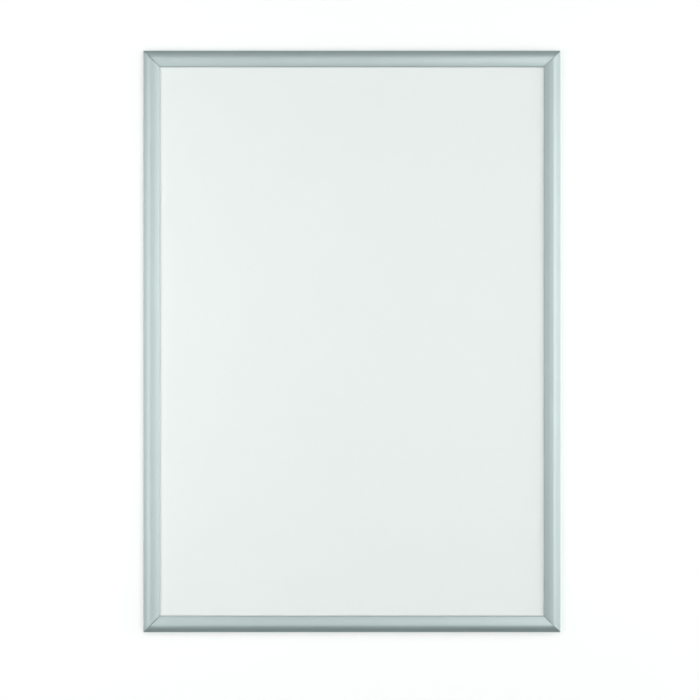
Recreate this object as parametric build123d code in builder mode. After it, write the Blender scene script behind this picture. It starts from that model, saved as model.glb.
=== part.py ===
from build123d import *
import os
from math import asin, atan, atan2, cos, degrees, radians, sin, sqrt

# A snap frame for an A1 sheet. Four base rails are held square by corner keys and screw to
# the wall. Four snap covers turn on a bead and socket along the outer edges, and arched
# springs throw them past centre, open or shut on the sheets.
# Lengths are millimetres. The origin is the centre of the back plane, +Z is up and the
# front faces -Y. Across a rail's section, u runs inward from the frame's outer face and
# w runs forward from the wall.

# Sheets
poster_width = 594.0
poster_height = 841.0
poster_thickness = 0.3
cover_sheet_thickness = 0.5
panel_thickness = 3.0
panel_margin = 0.5
sheet_clearance = 0.75

# Rails, seen in section
rail_width = 25.0
rail_depth = 12.0
web_thickness = 1.2
web_setback = 1.5
ledge_lift = 2.5
outer_wall = 1.0
channel_width = 13.05
stop_wall = 1.2
stop_wall_height = 8.2
stop_wall_chamfer = 0.4
rib_depth = 1.0
rib_thickness = 0.8
seat_drop = 1.2
rail_joint_gap = 0.05
fixing_line = 9.0

# Hinge of the snap cover: a bead in a split socket
bead_radius = 1.1
bead_clearance = 0.05
socket_wall = 0.9
cuff_gap = 0.25
cuff_wall = 1.0
nose_clearance = 0.1
nose_rounding = 0.3
neck_thickness = 0.8
opening_angle = 90.0
slot_margin_angle = 4.0
relief_angle = 20.0
relief_inset = 7.0

# Face and lip of the snap cover
cover_wall = 1.2
crest_u = 11.0
lip_shoulder = 9.2
lip_rounding = 1.4
lip_thickness = 1.6
lip_edge_rounding = 0.3
lip_gap = 0.1
cover_joint_gap = 0.4

# Springs between the covers and the base rails
strip_thickness = 0.5
spring_length = 40.0
spring_bow = 1.6
spring_seat_gap = 0.1
spring_end_angle = -45.0
claw_angle = -57.5
claw_radius = 0.4
claw_clearance = 0.4
long_rail_spring_shares = (-0.25, 0, 0.25)
short_rail_spring_shares = (-0.2, 0.2)

# Corner keys and their grub screws
key_thickness = 1.5
key_gap = 0.05
key_side_gap = 0.1
key_leg = 50.0
key_corner_chamfer = 3.0
key_screw_inset = 36.0
key_screw_radius = 2.0
key_screw_clearance = 0.05
key_screw_length = 4.0
hex_socket_radius = 1.15
hex_socket_depth = 1.8

# Holes that take the wall screws
wall_hole_radius = 2.25
wall_hole_rim = 2.6
wall_hole_rim_angle = 90.0
long_rail_hole_inset = 116.5
short_rail_hole_inset = 93.0

# How far a cut runs past the piece
overrun = 5.0

# Section: places across the rail
channel_end = outer_wall + channel_width
stop_face = channel_end + stop_wall
web_reach = rail_width - web_setback
rib_start = channel_end - rib_depth

# Section: heights above the wall
key_back = web_thickness + key_gap
key_front = key_back + key_thickness
key_lip = key_front + key_gap
panel_back = ledge_lift + web_thickness
poster_back = panel_back + panel_thickness
cover_sheet_back = poster_back + poster_thickness
stack_front = cover_sheet_back + cover_sheet_thickness
lip_bottom = stack_front + lip_gap

# Section: hinge radii, and the centre that stands clear of the corner keys
socket_inner = bead_radius + bead_clearance
socket_outer = socket_inner + socket_wall
cuff_inner = socket_outer + cuff_gap
cuff_outer = cuff_inner + cuff_wall
strip_end_radius = strip_thickness / 2
spring_end_reach = cuff_outer + spring_seat_gap + strip_end_radius
claw_reach = cuff_outer + claw_radius - spring_seat_gap
claw_drop = claw_radius - claw_reach * sin(radians(claw_angle))
hinge_u = socket_outer
hinge_w = key_front + claw_clearance + claw_drop
hinge = (hinge_u, hinge_w)
seat_height = hinge_w - seat_drop

# Section: the neck of the bead and the slot that it swings through
neck_half_angle = degrees(asin(neck_thickness / 2 / socket_inner))
slot_start = -neck_half_angle - slot_margin_angle
slot_end = opening_angle + neck_half_angle + slot_margin_angle

# Section: the cover's face, two arcs that meet at the crest
crest_rise = rail_depth - hinge_w
crest_run = crest_u - hinge_u
outer_face_radius = (crest_run**2 + crest_rise**2 - cuff_outer**2) / (
    2 * (crest_rise - cuff_outer)
)
outer_face_tilt = degrees(atan(crest_run / (outer_face_radius - crest_rise)))
lip_run = rail_width - crest_u
lip_drop = rail_depth - lip_shoulder
inner_face_radius = (lip_run**2 + lip_drop**2) / (2 * lip_drop)
inner_face_tilt = degrees(asin(lip_run / inner_face_radius))
lip_back = rail_width - lip_thickness
nose_angle = 90 + outer_face_tilt
nose_bottom = hinge_w + hinge_u + nose_clearance

# Whole frame
frame_width = poster_width + 2 * (stop_face + sheet_clearance)
frame_height = poster_height + 2 * (stop_face + sheet_clearance)
forward = Vector(0, -1, 0)
side_length = {
    "top": frame_width,
    "bottom": frame_width,
    "left": frame_height,
    "right": frame_height,
}
side_inward = {
    "top": Vector(0, 0, -1),
    "bottom": Vector(0, 0, 1),
    "left": Vector(1, 0, 0),
    "right": Vector(-1, 0, 0),
}
side_outer_face = {
    "top": (0, 0, frame_height / 2),
    "bottom": (0, 0, -frame_height / 2),
    "left": (-frame_width / 2, 0, 0),
    "right": (frame_width / 2, 0, 0),
}
corners = {
    "top_left": (-1, 1),
    "top_right": (1, 1),
    "bottom_left": (-1, -1),
    "bottom_right": (1, -1),
}


def section_plane(side):
    """The plane at the middle of a side, with x across the rail and y forward from the wall."""
    inward = side_inward[side]
    return Plane(
        origin=side_outer_face[side], x_dir=inward, z_dir=inward.cross(forward)
    )


def around_hinge(reach, angle):
    """A point of the section at a distance and an angle from the hinge's centre."""
    return (
        hinge_u + reach * cos(radians(angle)),
        hinge_w + reach * sin(radians(angle)),
    )


def bar(u_low, u_high, w_low, w_high, mode=Mode.ADD):
    """A rectangle of the section between two places across it and two heights."""
    with Locations(((u_low + u_high) / 2, (w_low + w_high) / 2)):
        Rectangle(u_high - u_low, w_high - w_low, mode=mode)


def disc(centre, radius, mode=Mode.ADD):
    """A round of the section."""
    with Locations(centre):
        Circle(radius, mode=mode)


def band(centre, inner, outer, start, end, mode=Mode.ADD):
    """Part of a ring of the section, from one angle round to another."""
    with BuildLine() as outline:
        far = CenterArc(centre, outer, start, end - start)
        near = CenterArc(centre, inner, start, end - start)
        Line(near @ 0, far @ 0)
        Line(near @ 1, far @ 1)
    make_face(outline.edges(), mode=mode)


def wedge(start, end, reach, mode=Mode.ADD):
    """A slice about the hinge's centre that reaches past the socket's wall."""
    with BuildLine() as outline:
        Polyline(
            hinge,
            around_hinge(reach, start),
            around_hinge(reach, (start + end) / 2),
            around_hinge(reach, end),
            close=True,
        )
    make_face(outline.edges(), mode=mode)


def mitre(plane, length, gap):
    """Cuts both ends of a rail at 45 degrees, set back a little from the corner's diagonal."""
    for end in (-1, 1):
        corner = plane.from_local_coords(Vector(0, 0, end * length / 2))
        diagonal = Plane(origin=corner, z_dir=plane.x_dir + plane.z_dir * end)
        split(bisect_by=diagonal.offset(-gap), keep=Keep.BOTTOM)


def base_section():
    """Web, outer wall with the hinge socket, stop wall with its two ribs, and the sheets' ledge."""
    bar(0, stop_face, 0, web_thickness)
    bar(channel_end, web_reach, ledge_lift, panel_back)
    bar(0, outer_wall, 0, hinge_w)
    bar(0, hinge_u, key_lip, hinge_w)
    disc(hinge, socket_outer)
    bar(channel_end, stop_face, 0, stop_wall_height)
    bar(rib_start, channel_end, key_lip, key_lip + rib_thickness)
    bar(rib_start, channel_end, seat_height - rib_thickness, seat_height)
    disc(hinge, socket_inner, mode=Mode.SUBTRACT)
    wedge(slot_start, slot_end, socket_outer * 2, mode=Mode.SUBTRACT)


def stop_wall_tops(section):
    """The two top corners of the stop wall."""
    top = (channel_end + stop_wall / 2, stop_wall_height)
    return section.vertices().sort_by_distance(top)[:2]


def base_rail(side, hole_inset):
    """One mitred rail of the base, with two holes for wall screws."""
    plane = section_plane(side)
    length = side_length[side]
    with BuildPart() as rail:
        with BuildSketch(plane) as section:
            base_section()
            chamfer(stop_wall_tops(section), stop_wall_chamfer)
        extrude(amount=length / 2, both=True)
        mitre(plane, length, rail_joint_gap)
        for end in (-1, 1):
            place = Vector(fixing_line, web_thickness, end * (length / 2 - hole_inset))
            with Locations(Plane(plane.from_local_coords(place), z_dir=forward)):
                CounterSinkHole(
                    wall_hole_radius,
                    wall_hole_rim,
                    depth=web_thickness + overrun,
                    counter_sink_angle=wall_hole_rim_angle,
                )
    return rail.part


def cover_section():
    """Arched face, the lip that presses on the sheets, and the cuff with its bead and claw.

    The nose, where face and cuff end, is cut level so that it clears the base's outer wall
    when the cover is open.
    """
    outer_centre = (crest_u, rail_depth - outer_face_radius)
    inner_centre = (crest_u, rail_depth - inner_face_radius)
    band(
        outer_centre,
        outer_face_radius - cover_wall,
        outer_face_radius,
        90,
        nose_angle,
    )
    band(
        inner_centre,
        inner_face_radius - cover_wall,
        inner_face_radius,
        90 - inner_face_tilt,
        90,
    )
    bar(lip_back, rail_width, lip_bottom, lip_shoulder)
    band(hinge, cuff_inner, cuff_outer, claw_angle, nose_angle)
    disc(around_hinge(claw_reach, claw_angle), claw_radius)
    disc(hinge, cuff_inner, mode=Mode.SUBTRACT)
    bar(-overrun, hinge_u, hinge_w, nose_bottom, mode=Mode.SUBTRACT)
    disc(hinge, bead_radius)
    bar(
        hinge_u,
        hinge_u + cuff_inner + cuff_wall / 2,
        hinge_w - neck_thickness / 2,
        hinge_w + neck_thickness / 2,
    )


def round_edges(section):
    """Rounds the nose, the lip's shoulder, and the edges that press on the sheets."""
    nose = around_hinge(cuff_outer, nose_angle)
    fillet(section.vertices().sort_by_distance(nose)[0], nose_rounding)
    shoulder = (rail_width, lip_shoulder)
    fillet(section.vertices().sort_by_distance(shoulder)[0], lip_rounding)
    foot = ((lip_back + rail_width) / 2, lip_bottom)
    fillet(section.vertices().sort_by_distance(foot)[:2], lip_edge_rounding)


def hinge_relief(plane, length):
    """Mills the bead, neck and claw back at both ends, so that they clear the next rail."""
    relief_top = hinge_w + cuff_inner * sin(radians(relief_angle))
    for end in (-1, 1):
        with BuildSketch(plane.offset(end * (length / 2 - relief_inset))) as cut:
            disc(hinge, cuff_inner)
            bar(hinge_u, hinge_u + claw_reach * 2, 0, relief_top)
        extrude(cut.sketch, amount=end * (relief_inset + overrun), mode=Mode.SUBTRACT)


def snap_cover(side):
    """One mitred snap cover, closed on the sheets."""
    plane = section_plane(side)
    length = side_length[side]
    with BuildPart() as cover:
        with BuildSketch(plane) as section:
            cover_section()
            round_edges(section)
        extrude(amount=length / 2, both=True)
        mitre(plane, length, cover_joint_gap)
        hinge_relief(plane, length)
    return cover.part


def spring(side, share):
    """An arched strip of spring steel from the cover's claw to the seat on the stop wall."""
    cover_end = around_hinge(spring_end_reach, spring_end_angle)
    seat_offset = strip_end_radius + spring_seat_gap
    base_end = (channel_end - seat_offset, seat_height + seat_offset)
    place = share * side_length[side]
    with BuildPart() as strip:
        with BuildSketch(section_plane(side).offset(place)):
            with BuildLine() as arch:
                SagittaArc(cover_end, base_end, spring_bow)
            SlotArc(arch.edges()[0], strip_thickness)
        extrude(amount=spring_length / 2, both=True)
    return strip.part


def corner_key(across, up):
    """An L of steel plate in the channels of the two rails that meet at a corner."""
    outer = outer_wall + key_side_gap
    inner = channel_end - key_side_gap
    left = frame_width / 2
    top = frame_height / 2
    with BuildPart() as key:
        with BuildSketch(Plane.XZ.offset(key_back)) as plate:
            with BuildLine():
                Polyline(
                    (across * (left - outer), up * (top - outer)),
                    (across * (left - key_leg), up * (top - outer)),
                    (across * (left - key_leg), up * (top - inner)),
                    (across * (left - inner), up * (top - inner)),
                    (across * (left - inner), up * (top - key_leg)),
                    (across * (left - outer), up * (top - key_leg)),
                    close=True,
                )
            make_face()
            tip = (across * (left - outer), up * (top - outer))
            chamfer(plate.vertices().sort_by_distance(tip)[0], key_corner_chamfer)
            with Locations(*key_screw_places(across, up)):
                Circle(key_screw_radius + key_screw_clearance, mode=Mode.SUBTRACT)
        extrude(amount=key_thickness)
    return key.part


def key_screw_places(across, up):
    """Where the two grub screws of a corner stand, on the front view."""
    left = frame_width / 2
    top = frame_height / 2
    return [
        (across * (left - key_screw_inset), up * (top - fixing_line)),
        (across * (left - fixing_line), up * (top - key_screw_inset)),
    ]


def key_screws():
    """Eight grub screws, two to a key, that bear on the web and push the keys outward."""
    places = [place for corner in corners.values() for place in key_screw_places(*corner)]
    with BuildPart() as screws:
        with BuildSketch(Plane.XZ.offset(web_thickness)):
            with Locations(*places):
                Circle(key_screw_radius)
        extrude(amount=key_screw_length)
        with BuildSketch(Plane.XZ.offset(web_thickness + key_screw_length)):
            with Locations(*places):
                RegularPolygon(hex_socket_radius, 6)
        extrude(amount=-hex_socket_depth, mode=Mode.SUBTRACT)
    return screws.part


def sheet(width, height, back, thickness):
    """A flat sheet of the stack between the rails."""
    with BuildPart() as stack:
        with BuildSketch(Plane.XZ.offset(back)):
            Rectangle(width, height)
        extrude(amount=thickness)
    return stack.part


def spring_strip_length():
    """The length of a spring's strip along its arch."""
    start = around_hinge(spring_end_reach, spring_end_angle)
    seat_offset = strip_end_radius + spring_seat_gap
    chord = sqrt(
        (channel_end - seat_offset - start[0]) ** 2
        + (seat_height + seat_offset - start[1]) ** 2
    )
    half_angle = 2 * atan2(2 * spring_bow, chord)
    return chord / sin(half_angle) * half_angle + strip_thickness


pieces = {}
for side in side_length:
    upright = side in ("left", "right")
    inset = long_rail_hole_inset if upright else short_rail_hole_inset
    shares = long_rail_spring_shares if upright else short_rail_spring_shares
    pieces[f"base_rail_{side}"] = base_rail(side, inset)
    pieces[f"snap_cover_{side}"] = snap_cover(side)
    for number, share in enumerate(shares, start=1):
        pieces[f"spring_{side}_{number}"] = spring(side, share)
for name, corner in corners.items():
    pieces[f"corner_key_{name}"] = corner_key(*corner)
pieces["key_screws"] = key_screws()
pieces["back_panel"] = sheet(
    poster_width + 2 * panel_margin,
    poster_height + 2 * panel_margin,
    panel_back,
    panel_thickness,
)
pieces["poster_sheet"] = sheet(
    poster_width, poster_height, poster_back, poster_thickness
)
pieces["cover_sheet"] = sheet(
    poster_width, poster_height, cover_sheet_back, cover_sheet_thickness
)

os.makedirs("parts", exist_ok=True)
for name, piece in pieces.items():
    piece.label = name
    export_step(piece, f"parts/{name}.step")

print(f"frame {frame_width:.2f} x {frame_height:.2f} x {rail_depth:.2f} mm")
print(f"hinge centre u {hinge_u:.3f}, w {hinge_w:.3f} mm")
print(f"spring strip {spring_strip_length():.2f} mm long")
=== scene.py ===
from math import pi, radians

import bmesh
import bpy
from mathutils import Matrix, Vector

# A wall-mounted snap frame round a blank sheet: four mitred rails of satin aluminium whose
# arched covers hinge outwards, with the springs, corner keys and screws that they hide.
# Lengths are metres. +Z is up, the front faces -Y and the wall is at y = 0.
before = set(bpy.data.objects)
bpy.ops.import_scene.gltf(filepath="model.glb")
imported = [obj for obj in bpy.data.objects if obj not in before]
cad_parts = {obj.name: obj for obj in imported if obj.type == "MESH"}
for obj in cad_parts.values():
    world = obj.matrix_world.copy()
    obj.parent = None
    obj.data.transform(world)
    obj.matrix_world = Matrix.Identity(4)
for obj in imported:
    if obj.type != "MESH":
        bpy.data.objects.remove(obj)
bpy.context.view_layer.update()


# Base rails
# Extruded 6060 aluminium, etched and anodised to a satin silver before it is cut, so the
# mitres and the countersunk wall holes show bare sawn and drilled metal. That bare metal is
# drawn darker than the anodised face, which paints shade into the mitre gaps and the holes.
def linear(colour):
    """A colour written as sRGB hex, as the linear values that a socket takes."""
    shares = [int(colour[i : i + 2], 16) / 255 for i in (1, 3, 5)]
    return [s / 12.92 if s <= 0.04045 else ((s + 0.055) / 1.055) ** 2.4 for s in shares] + [1]


def add_node(tree, kind, settings={}, inputs={}):
    """Adds a node with its settings, and with the value or the socket for each of its inputs."""
    node = tree.nodes.new(kind)
    for name, value in settings.items():
        setattr(node, name, value)
    for name, value in inputs.items():
        if isinstance(value, bpy.types.NodeSocket):
            tree.links.new(value, node.inputs[name])
        else:
            node.inputs[name].default_value = value
    return node


def new_material(name):
    """An empty material, with its node tree."""
    material = bpy.data.materials.new(name)
    material.use_nodes = True
    material.node_tree.nodes.clear()
    return material, material.node_tree


def dress(material, nodes):
    """Gives the CAD nodes a material of their own."""
    for node in nodes:
        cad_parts[node].material_slots[0].material = material


rail_silver = linear("#B0C0BF")
# the bare metal of the cuts, darker than the anodised face: painted shade in the mitre gaps and
# holes
bare_metal_and_recess_shade = linear("#A9AFAF")
die_line_spacing = 0.0004
die_line_length = 0.25
streak_width = 0.003
streak_length = 0.5
streak_range = (0.3, 0.7)
streak_tone = (0.965, 1.0)
satin_roughness = (0.47, 0.53)
sawn_roughness = 0.3
rail_relief = 0.12
relief_depth = 0.00005

# grains to a metre; the real etched grain is finer, and is drawn coarser to show close up
etched_grains = 6000.0
etched_share = 0.3

# the normals of the mitre cuts and how near to one a normal has to be, then the rim of a wall
# hole and the holes' centres, in one quarter of the frame and without their depth
mitre_normals = ((0.7071, 0, 0.7071), (0.7071, 0, -0.7071))
mitre_match = 0.98
hole_rim = 0.0029
side_holes = (0.304, 0, 0.320)
end_holes = (0.220, 0, 0.4275)
without_depth = (1, 0, 1)


def satin_anodised(name, along, drilled):
    """Anodised extrusion with faint die lines along one axis; its cuts are bare metal, painted
    darker as shade.
    """
    material, tree = new_material(name)
    place = add_node(tree, "ShaderNodeTexCoord")
    lengthwise = {"X": 0, "Z": 2}[along]
    line_scale = [1 / die_line_spacing] * 3
    line_scale[lengthwise] = 1 / die_line_length
    streak_scale = [1 / streak_width] * 3
    streak_scale[lengthwise] = 1 / streak_length
    line_place = add_node(
        tree,
        "ShaderNodeMapping",
        inputs={"Vector": place.outputs["Object"], "Scale": line_scale},
    )
    streak_place = add_node(
        tree,
        "ShaderNodeMapping",
        inputs={"Vector": place.outputs["Object"], "Scale": streak_scale},
    )
    lines = add_node(
        tree,
        "ShaderNodeTexNoise",
        inputs={"Vector": line_place.outputs[0], "Scale": 1.0, "Detail": 2.0},
    )
    streaks = add_node(
        tree,
        "ShaderNodeTexNoise",
        inputs={"Vector": streak_place.outputs[0], "Scale": 1.0, "Detail": 3.0},
    )
    etched = add_node(
        tree,
        "ShaderNodeTexNoise",
        inputs={"Vector": place.outputs["Object"], "Scale": etched_grains, "Detail": 1.0},
    )

    # where the metal is bare and painted darker as shade: the mitres, whose normals are
    # diagonal, and the drilled holes
    cuts = []
    for diagonal in mitre_normals:
        facing = add_node(
            tree,
            "ShaderNodeVectorMath",
            {"operation": "DOT_PRODUCT"},
            {0: place.outputs["Normal"], 1: diagonal},
        )
        match = add_node(
            tree,
            "ShaderNodeMath",
            {"operation": "ABSOLUTE"},
            {0: facing.outputs["Value"]},
        )
        cuts.append(
            add_node(
                tree,
                "ShaderNodeMath",
                {"operation": "GREATER_THAN"},
                {0: match.outputs[0], 1: mitre_match},
            )
        )
    quarter = add_node(
        tree,
        "ShaderNodeVectorMath",
        {"operation": "ABSOLUTE"},
        {0: place.outputs["Object"]},
    )
    flat = add_node(
        tree,
        "ShaderNodeVectorMath",
        {"operation": "MULTIPLY"},
        {0: quarter.outputs[0], 1: without_depth},
    )
    for centre in drilled:
        reach = add_node(
            tree,
            "ShaderNodeVectorMath",
            {"operation": "DISTANCE"},
            {0: flat.outputs[0], 1: centre},
        )
        cuts.append(
            add_node(
                tree,
                "ShaderNodeMath",
                {"operation": "LESS_THAN"},
                {0: reach.outputs["Value"], 1: hole_rim},
            )
        )
    bare = cuts[0]
    for cut in cuts[1:]:
        bare = add_node(
            tree,
            "ShaderNodeMath",
            {"operation": "MAXIMUM"},
            {0: bare.outputs[0], 1: cut.outputs[0]},
        )

    tone = add_node(
        tree,
        "ShaderNodeMapRange",
        inputs={
            "Value": streaks.outputs[0],
            "From Min": streak_range[0],
            "From Max": streak_range[1],
            "To Min": streak_tone[0],
            "To Max": streak_tone[1],
        },
    )
    silver = add_node(
        tree,
        "ShaderNodeMix",
        {"data_type": "RGBA", "blend_type": "MULTIPLY"},
        {"Factor": 1.0, "A": rail_silver, "B": tone.outputs[0]},
    )
    # the cuts take the darker bare metal, which paints shade into the mitre gaps and the holes
    colour = add_node(
        tree,
        "ShaderNodeMix",
        {"data_type": "RGBA"},
        {"Factor": bare.outputs[0], "A": silver.outputs["Result"], "B": bare_metal_and_recess_shade},
    )
    satin = add_node(
        tree,
        "ShaderNodeMapRange",
        inputs={
            "Value": streaks.outputs[0],
            "From Min": streak_range[0],
            "From Max": streak_range[1],
            "To Min": satin_roughness[0],
            "To Max": satin_roughness[1],
        },
    )
    roughness = add_node(
        tree,
        "ShaderNodeMix",
        inputs={"Factor": bare.outputs[0], "A": satin.outputs[0], "B": sawn_roughness},
    )
    relief = add_node(
        tree,
        "ShaderNodeMix",
        inputs={"Factor": etched_share, "A": lines.outputs[0], "B": etched.outputs[0]},
    )
    bump = add_node(
        tree,
        "ShaderNodeBump",
        inputs={"Strength": rail_relief, "Distance": relief_depth, "Height": relief.outputs[0]},
    )
    metal = add_node(
        tree,
        "ShaderNodeBsdfPrincipled",
        inputs={
            "Base Color": colour.outputs["Result"],
            "Metallic": 1.0,
            "Roughness": roughness.outputs[0],
            "Normal": bump.outputs[0],
        },
    )
    add_node(tree, "ShaderNodeOutputMaterial", inputs={"Surface": metal.outputs[0]})
    return material


level_base = satin_anodised("satin_anodised_base_level", "X", (end_holes,))
upright_base = satin_anodised("satin_anodised_base_upright", "Z", (side_holes,))
dress(level_base, ["base_rail_top", "base_rail_bottom"])
dress(upright_base, ["base_rail_left", "base_rail_right"])


# Corner keys and grub screws
# The keys are stamped from steel strip and zinc plated, and slide into the channels of two
# rails. M4 grub screws with a hex socket clamp each leg against the web.
zinc = linear("#BBC3C2")
zinc_shade = linear("#A1ABAC")
zinc_mottle = 0.002
zinc_roughness = (0.24, 0.4)
zinc_relief = 0.1
thread_pitch = 0.0007
thread_depth = 0.0003
thread_relief = 0.8

# the width of a wave texture's band at scale 1
wave_band = pi / 10


def zinc_plate(name, threaded):
    """Bright zinc with its faint mottle, and with the thread's ridges on a screw."""
    material, tree = new_material(name)
    place = add_node(tree, "ShaderNodeTexCoord")
    mottle = add_node(
        tree,
        "ShaderNodeTexNoise",
        inputs={"Vector": place.outputs["Object"], "Scale": 1 / zinc_mottle, "Detail": 4.0},
    )
    colour = add_node(
        tree,
        "ShaderNodeMix",
        {"data_type": "RGBA"},
        {"Factor": mottle.outputs[0], "A": zinc_shade, "B": zinc},
    )
    roughness = add_node(
        tree,
        "ShaderNodeMapRange",
        inputs={
            "Value": mottle.outputs[0],
            "To Min": zinc_roughness[0],
            "To Max": zinc_roughness[1],
        },
    )
    bump = add_node(
        tree,
        "ShaderNodeBump",
        inputs={"Strength": zinc_relief, "Distance": relief_depth, "Height": mottle.outputs[0]},
    )
    if threaded:
        ridges = add_node(
            tree,
            "ShaderNodeTexWave",
            {"bands_direction": "Y"},
            {"Vector": place.outputs["Object"], "Scale": wave_band / thread_pitch},
        )
        bump = add_node(
            tree,
            "ShaderNodeBump",
            inputs={
                "Strength": thread_relief,
                "Distance": thread_depth,
                "Height": ridges.outputs[0],
                "Normal": bump.outputs[0],
            },
        )
    metal = add_node(
        tree,
        "ShaderNodeBsdfPrincipled",
        inputs={
            "Base Color": colour.outputs["Result"],
            "Metallic": 1.0,
            "Roughness": roughness.outputs[0],
            "Normal": bump.outputs[0],
        },
    )
    add_node(tree, "ShaderNodeOutputMaterial", inputs={"Surface": metal.outputs[0]})
    return material


keys = [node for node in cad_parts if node.startswith("corner_key_")]
dress(zinc_plate("zinc_plated_key", threaded=False), keys)
dress(zinc_plate("zinc_plated_screw", threaded=True), ["key_screws"])


# Back panel
# A 3 mm board of white foamed PVC behind the sheets. Its surface is smooth and matt, with the
# faint orange peel of extruded sheet.
panel_white = linear("#E9EBEA")
panel_peel = 0.0012
panel_relief = 0.15
panel_roughness = 0.5
pvc_ior = 1.53

foamed_pvc, tree = new_material("white_foamed_pvc")
place = add_node(tree, "ShaderNodeTexCoord")
peel = add_node(
    tree,
    "ShaderNodeTexNoise",
    inputs={"Vector": place.outputs["Object"], "Scale": 1 / panel_peel, "Detail": 1.0},
)
bump = add_node(
    tree,
    "ShaderNodeBump",
    inputs={"Strength": panel_relief, "Distance": relief_depth, "Height": peel.outputs[0]},
)
plastic = add_node(
    tree,
    "ShaderNodeBsdfPrincipled",
    inputs={
        "Base Color": panel_white,
        "Roughness": panel_roughness,
        "IOR": pvc_ior,
        "Normal": bump.outputs[0],
    },
)
add_node(tree, "ShaderNodeOutputMaterial", inputs={"Surface": plastic.outputs[0]})
dress(foamed_pvc, ["back_panel"])


# Poster sheet
# A blank sheet of matt coated paper, a little cool in tone, with faint cloudiness from its
# fibres.
paper_white = linear("#EDF4F2")
paper_cloud = linear("#E9F1EF")
fibre_cloud = 0.006
paper_roughness = 0.85
paper_ior = 1.45

paper, tree = new_material("matt_coated_paper")
place = add_node(tree, "ShaderNodeTexCoord")
cloud = add_node(
    tree,
    "ShaderNodeTexNoise",
    inputs={"Vector": place.outputs["Object"], "Scale": 1 / fibre_cloud, "Detail": 5.0},
)
colour = add_node(
    tree,
    "ShaderNodeMix",
    {"data_type": "RGBA"},
    {"Factor": cloud.outputs[0], "A": paper_cloud, "B": paper_white},
)
fibres = add_node(
    tree,
    "ShaderNodeBsdfPrincipled",
    inputs={
        "Base Color": colour.outputs["Result"],
        "Roughness": paper_roughness,
        "IOR": paper_ior,
    },
)
add_node(tree, "ShaderNodeOutputMaterial", inputs={"Surface": fibres.outputs[0]})
dress(paper, ["poster_sheet"])


# Cover sheet
# Clear rigid PVC, 0.5 mm thick, that lies on the paper. The fine anti-glare grain on its face
# leaves only a broad dull sheen. The grain is drawn coarser than it is, to show close up.
sheet_tint = linear("#F4F7F6")
sheet_haze = 0.12
sheet_roughness = 0.4
glare_grain = 0.0003
glare_relief = 0.1
glare_depth = 0.00002

anti_glare, tree = new_material("anti_glare_pvc")
place = add_node(tree, "ShaderNodeTexCoord")
grain = add_node(
    tree,
    "ShaderNodeTexNoise",
    inputs={"Vector": place.outputs["Object"], "Scale": 1 / glare_grain, "Detail": 2.0},
)
bump = add_node(
    tree,
    "ShaderNodeBump",
    inputs={"Strength": glare_relief, "Distance": glare_depth, "Height": grain.outputs[0]},
)
plastic = add_node(
    tree,
    "ShaderNodeBsdfPrincipled",
    inputs={
        "Base Color": sheet_tint,
        "Roughness": sheet_roughness,
        "IOR": pvc_ior,
        "Alpha": sheet_haze,
        "Normal": bump.outputs[0],
    },
)
add_node(tree, "ShaderNodeOutputMaterial", inputs={"Surface": plastic.outputs[0]})
dress(anti_glare, ["cover_sheet"])


# Snap covers
# The same anodised extrusion, arched and mitred, hinged along the outer edge by a bead in the
# base rail's socket. Their lips press on the sheets.
level_cover = satin_anodised("satin_anodised_cover_level", "X", ())
upright_cover = satin_anodised("satin_anodised_cover_upright", "Z", ())
dress(level_cover, ["snap_cover_top", "snap_cover_bottom"])
dress(upright_cover, ["snap_cover_left", "snap_cover_right"])


# Springs
# Strips of blue-grey spring steel, slit to width and pressed to an arch, that stand between
# the covers and the stop walls. Rolling leaves a fine mottle on them.
strip_steel = linear("#9FA9AD")
strip_shade = linear("#869196")
rolled_mottle = 0.0003
strip_roughness = 0.28

spring_steel, tree = new_material("rolled_spring_steel")
place = add_node(tree, "ShaderNodeTexCoord")
rolled = add_node(
    tree,
    "ShaderNodeTexNoise",
    inputs={"Vector": place.outputs["Object"], "Scale": 1 / rolled_mottle, "Detail": 2.0},
)
colour = add_node(
    tree,
    "ShaderNodeMix",
    {"data_type": "RGBA"},
    {"Factor": rolled.outputs[0], "A": strip_shade, "B": strip_steel},
)
metal = add_node(
    tree,
    "ShaderNodeBsdfPrincipled",
    inputs={
        "Base Color": colour.outputs["Result"],
        "Metallic": 1.0,
        "Roughness": strip_roughness,
    },
)
add_node(tree, "ShaderNodeOutputMaterial", inputs={"Surface": metal.outputs[0]})
springs = [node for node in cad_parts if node.startswith("spring_")]
dress(spring_steel, springs)


# Wall and floor
# A plain white wall just behind the frame, left open where the frame covers it, and a plain
# pale floor well below. Both keep soft shadows, fade to plain white and are clear from behind.
wall_white = linear("#DDE2E1")
floor_white = linear("#F0F2F2")
glow_level = 0.27
wall_gap = 0.0005
wall_half = 3.0
wall_fade = (0.62, 1.0)
opening_half = (0.3128, 0.4363)
floor_half = 0.7
floor_fade = (0.3, 0.65)
floor_level = -1.6


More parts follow.
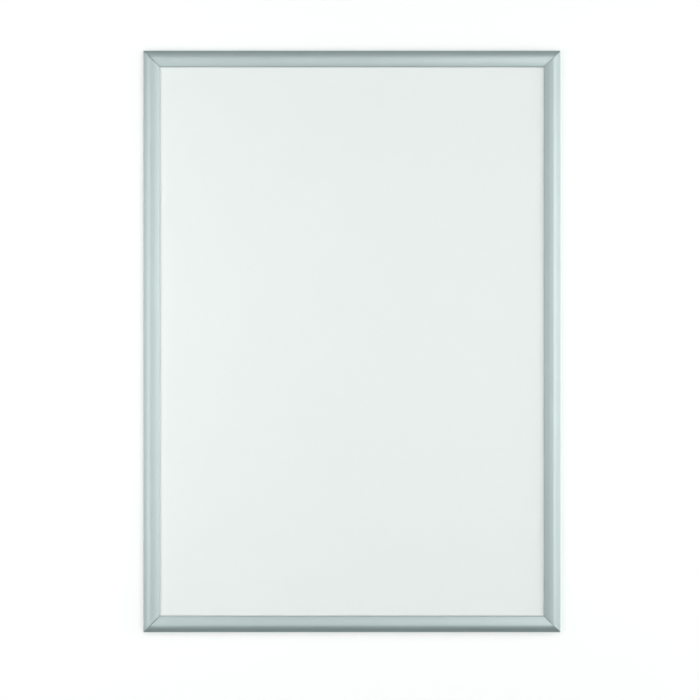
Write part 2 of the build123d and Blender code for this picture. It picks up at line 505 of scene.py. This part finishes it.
def matt_paint(name, colour, centre, fade):
    """Matt paint, shown a little lighter than it is lit, and plain white far from its centre."""
    material, tree = new_material(name)
    paint = add_node(tree, "ShaderNodeBsdfDiffuse", inputs={"Color": colour})

    # what the camera, the metal and the clear sheet see
    ray = add_node(tree, "ShaderNodeLightPath")
    seen = ray.outputs["Is Camera Ray"]
    for kind in ("Is Glossy Ray", "Is Transmission Ray"):
        either = add_node(
            tree,
            "ShaderNodeMath",
            {"operation": "MAXIMUM"},
            {0: seen, 1: ray.outputs[kind]},
        )
        seen = either.outputs[0]
    level = add_node(tree, "ShaderNodeMath", {"operation": "MULTIPLY"}, {0: seen, 1: glow_level})
    glow = add_node(tree, "ShaderNodeEmission", inputs={"Strength": level.outputs[0]})
    near = add_node(tree, "ShaderNodeAddShader", inputs={0: paint.outputs[0], 1: glow.outputs[0]})

    place = add_node(tree, "ShaderNodeTexCoord")
    reach = add_node(
        tree,
        "ShaderNodeVectorMath",
        {"operation": "DISTANCE"},
        {0: place.outputs["Object"], 1: centre},
    )
    distance = add_node(
        tree,
        "ShaderNodeMapRange",
        {"interpolation_type": "SMOOTHSTEP"},
        {"Value": reach.outputs["Value"], "From Min": fade[0], "From Max": fade[1]},
    )
    share = add_node(
        tree,
        "ShaderNodeMath",
        {"operation": "MULTIPLY"},
        {0: distance.outputs[0], 1: seen},
    )
    far = add_node(tree, "ShaderNodeEmission")
    front = add_node(
        tree,
        "ShaderNodeMixShader",
        inputs={0: share.outputs[0], 1: near.outputs[0], 2: far.outputs[0]},
    )
    side = add_node(tree, "ShaderNodeNewGeometry")
    clear = add_node(tree, "ShaderNodeBsdfTransparent")
    surface = add_node(
        tree,
        "ShaderNodeMixShader",
        inputs={0: side.outputs["Backfacing"], 1: front.outputs[0], 2: clear.outputs[0]},
    )
    add_node(tree, "ShaderNodeOutputMaterial", inputs={"Surface": surface.outputs[0]})
    return material


def stage_plane(name, shape, paint):
    """A flat stage piece from a bmesh."""
    mesh = bpy.data.meshes.new(name)
    shape.to_mesh(mesh)
    shape.free()
    mesh.materials.append(paint)
    plane = bpy.data.objects.new(name, mesh)
    bpy.context.scene.collection.objects.link(plane)


shape = bmesh.new()
facing_front = Matrix.Translation((0, wall_gap, 0)) @ Matrix.Rotation(radians(90), 4, "X")
bmesh.ops.create_grid(shape, x_segments=3, y_segments=3, size=wall_half, matrix=facing_front)

# the lines inside the grid move to the opening's sides, and those of its border stay
for corner in shape.verts:
    for axis, half in ((0, opening_half[0]), (2, opening_half[1])):
        if abs(corner.co[axis]) < wall_half - wall_gap:
            corner.co[axis] = half if corner.co[axis] > 0 else -half
middle = min(shape.faces, key=lambda face: face.calc_center_median().length)
bmesh.ops.delete(shape, geom=[middle], context="FACES")
stage_plane("wall", shape, matt_paint("wall_paint", wall_white, (0, 0, 0), wall_fade))

floor_centre = (0, 0, floor_level)
shape = bmesh.new()
bmesh.ops.create_grid(
    shape, x_segments=1, y_segments=1, size=floor_half, matrix=Matrix.Translation(floor_centre)
)
stage_plane("floor", shape, matt_paint("floor_paint", floor_white, floor_centre, floor_fade))


# Light
# Nine softboxes: two at the left, one in front, five at the right, which give most of the
# light, and one above, with a weak and even room light that is a little cool.
lamp_white = linear("#FEF8F8")
room_cool = 0.7
room_level = 0.1


def softbox(name, place, width, height, power):
    """A rectangular lamp, its sides in metres and its power in watts, aimed at the middle."""
    lamp = bpy.data.lights.new(name, "AREA")
    lamp.color = lamp_white[:3]
    lamp.shape = "RECTANGLE"
    lamp.size = width
    lamp.size_y = height
    lamp.energy = power
    holder = bpy.data.objects.new(name, lamp)
    holder.location = place
    holder.rotation_euler = (-Vector(place)).to_track_quat("-Z", "Y").to_euler()
    holder.visible_camera = False
    bpy.context.scene.collection.objects.link(holder)


softbox("softbox_left", (-0.9, -1.6, 0.0), 0.3, 2.4, 9.5)
softbox("softbox_left_close", (-0.9, -0.7, 0.0), 0.6, 1.4, 3.9)
softbox("softbox_front", (0.0, -3.4, 0.0), 0.5, 2.4, 9.8)
softbox("softbox_right", (1.0, -2.9, 0.0), 0.8, 2.4, 22.1)
softbox("softbox_right_close", (0.9, -0.7, 0.0), 0.6, 1.4, 1.5)
softbox("softbox_right_back", (2.4, -3.6, 0.0), 0.6, 2.4, 24.0)
softbox("softbox_right_far", (2.6, -0.5, 0.0), 1.2, 2.4, 41.4)
softbox("softbox_right_high", (1.5, -2.6, 1.5), 0.8, 0.8, 6.4)
softbox("softbox_above", (0.0, -2.0, 2.4), 2.4, 1.2, 7.0)

# the room before the wall is a weak even light, and it is white behind the wall and where the
# camera sees past it
world = bpy.data.worlds.new("studio")
bpy.context.scene.world = world
world.use_nodes = True
world.node_tree.nodes.clear()
tree = world.node_tree
room_light = [room_level * room_cool, room_level, room_level, 1]
ray = add_node(tree, "ShaderNodeLightPath")
direction = add_node(tree, "ShaderNodeTexCoord")
parts = add_node(
    tree,
    "ShaderNodeSeparateXYZ",
    inputs={"Vector": direction.outputs["Generated"]},
)
behind = add_node(
    tree,
    "ShaderNodeMath",
    {"operation": "GREATER_THAN"},
    {0: parts.outputs["Y"], 1: 0.0},
)
white = add_node(
    tree,
    "ShaderNodeMath",
    {"operation": "MAXIMUM"},
    {0: ray.outputs["Is Camera Ray"], 1: behind.outputs[0]},
)
sky = add_node(
    tree,
    "ShaderNodeMix",
    {"data_type": "RGBA"},
    {"Factor": white.outputs[0], "A": room_light, "B": [1, 1, 1, 1]},
)
room = add_node(tree, "ShaderNodeBackground", inputs={"Color": sky.outputs["Result"]})
add_node(tree, "ShaderNodeOutputWorld", inputs={"Surface": room.outputs[0]})
bpy.context.scene.view_settings.view_transform = "Standard"


# Camera
# Square on to the frame and a little left of and below its middle, as the photograph is. The
# view's width is that of the plane that lies 8 mm before the wall.
camera_distance = 3.0
camera_left = 0.003
camera_below = 0.0128
view_width = 1.05035
view_plane = 0.008
lens = bpy.data.cameras.new("camera")
lens.sensor_width = 36
lens.lens = lens.sensor_width * (camera_distance - view_plane) / view_width
camera = bpy.data.objects.new("camera", lens)
camera.location = (-camera_left, -camera_distance, -camera_below)
camera.rotation_euler = (radians(90), 0, 0)
bpy.context.scene.collection.objects.link(camera)
bpy.context.scene.camera = camera
